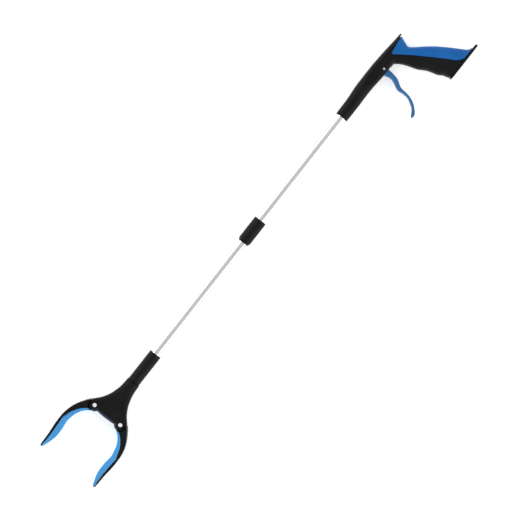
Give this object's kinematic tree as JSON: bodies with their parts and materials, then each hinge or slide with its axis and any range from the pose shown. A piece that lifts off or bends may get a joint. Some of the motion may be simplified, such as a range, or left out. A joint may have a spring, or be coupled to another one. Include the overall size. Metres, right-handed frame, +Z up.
{
  "type": "folding reacher grabber",
  "caption": "Folding reacher grabber: pistol grip with a trigger, two-part shaft on a fold hinge with a lock sleeve, and a swivel head whose padded jaws close by an internal pull cord.",
  "frame": {"origin": "centre of the bounding box, on the plane the object lies on", "axes": "+X along the shaft from the jaws to the handle, +Y towards the top of the handle (the grip points to -Y), +Z up from the surface it lies on"},
  "size_m": [0.8128, 0.1384, 0.026],
  "materials": {
    "black_plastic": "fine satin moulding",
    "grip_blue": "soft-touch overmould",
    "pad_blue": "soft pad",
    "trigger_blue": "satin moulding",
    "navy_liner": "soft strip",
    "tube_aluminium": "bright satin anodised",
    "cord": "braided cord",
    "steel": "plated"
  },
  "bodies": {
    "handle": {"handle_shell_upper": "black_plastic", "handle_shell_lower": "black_plastic", "handle_screw_1": "steel", "handle_screw_2": "steel", "handle_screw_3": "steel", "handle_screw_4": "steel", "grip_overmould": "grip_blue", "grip_end_plate": "black_plastic", "trigger_pin": "steel", "rear_tube": "tube_aluminium", "tube_pin_rear": "steel", "rear_hinge_insert": "black_plastic", "hinge_pin": "steel"},
    "trigger": {"trigger": "trigger_blue", "cord_ferrule": "steel"},
    "cord_rear": {"pull_cord_rear": "cord"},
    "lock_sleeve": {"lock_sleeve": "black_plastic"},
    "front_shaft": {"front_tube": "tube_aluminium", "front_hinge_insert": "black_plastic", "tube_pin_front": "steel", "neck_sleeve": "black_plastic"},
    "cord_front": {"pull_cord_front": "cord"},
    "head": {"head_shell_upper": "black_plastic", "head_shell_lower": "black_plastic", "head_screw_a": "steel", "head_screw_b": "steel", "throat_liner": "navy_liner", "jaw_pin_a": "steel", "jaw_pin_b": "steel", "return_spring": "steel"},
    "crosshead": {"crosshead": "black_plastic", "drive_pin_a": "steel", "drive_pin_b": "steel"},
    "jaw_a": {"jaw_a": "black_plastic", "jaw_pad_a": "pad_blue"},
    "jaw_b": {"jaw_b": "black_plastic", "jaw_pad_b": "pad_blue"}
  },
  "joints": [
    {"name": "trigger_squeeze", "type": "hinge", "parent": "handle", "child": "trigger", "pos_m": [0.29925, 0.0134, 0.013], "axis": [0, 0, 1], "range_deg": [0, 40], "stiffness_Nm_per_rad": 0.3, "springref_deg": -20.05},
    {"name": "shaft_fold", "type": "hinge", "parent": "handle", "child": "front_shaft", "pos_m": [0.0066, 0.02355, 0.013], "axis": [0, 0, -1], "range_deg": [0, 160]},
    {"name": "lock_slide", "type": "slide", "parent": "handle", "child": "lock_sleeve", "axis": [1, 0, 0], "range_m": [0, 0.0785]},
    {"name": "cord_rear_slide", "type": "slide", "parent": "handle", "child": "cord_rear", "axis": [1, 0, 0], "range_m": [0, 0.0034]},
    {"name": "cord_front_slide", "type": "slide", "parent": "front_shaft", "child": "cord_front", "axis": [1, 0, 0], "range_m": [0, 0.0034]},
    {"name": "head_swivel", "type": "hinge", "parent": "front_shaft", "child": "head", "pos_m": [-0.25725, 0.01855, 0.013], "axis": [1, 0, 0], "range_deg": [-90, 90]},
    {"name": "crosshead_slide", "type": "slide", "parent": "head", "child": "crosshead", "axis": [1, 0, 0], "range_m": [0, 0.0034], "deforming": ["return_spring"]},
    {"name": "jaw_a_close", "type": "hinge", "parent": "head", "child": "jaw_a", "pos_m": [-0.3153, 0.04115, 0.013], "axis": [0, 0, 1], "range_deg": [0, 27.6]},
    {"name": "jaw_b_close", "type": "hinge", "parent": "head", "child": "jaw_b", "pos_m": [-0.3153, -0.00405, 0.013], "axis": [0, 0, -1], "range_deg": [0, 27.6]}
  ],
  "couplings": [
    {"joint": "lock_slide", "follows": "shaft_fold", "m_per_rad": 0.028},
    {"joint": "cord_rear_slide", "follows": "trigger_squeeze", "m_per_rad": 0.0047665},
    {"joint": "cord_front_slide", "follows": "trigger_squeeze", "m_per_rad": 0.0047665},
    {"joint": "crosshead_slide", "follows": "trigger_squeeze", "m_per_rad": 0.0047665},
    {"joint": "jaw_a_close", "follows": "trigger_squeeze", "ratio": 0.6875},
    {"joint": "jaw_b_close", "follows": "trigger_squeeze", "ratio": 0.6875}
  ]
}
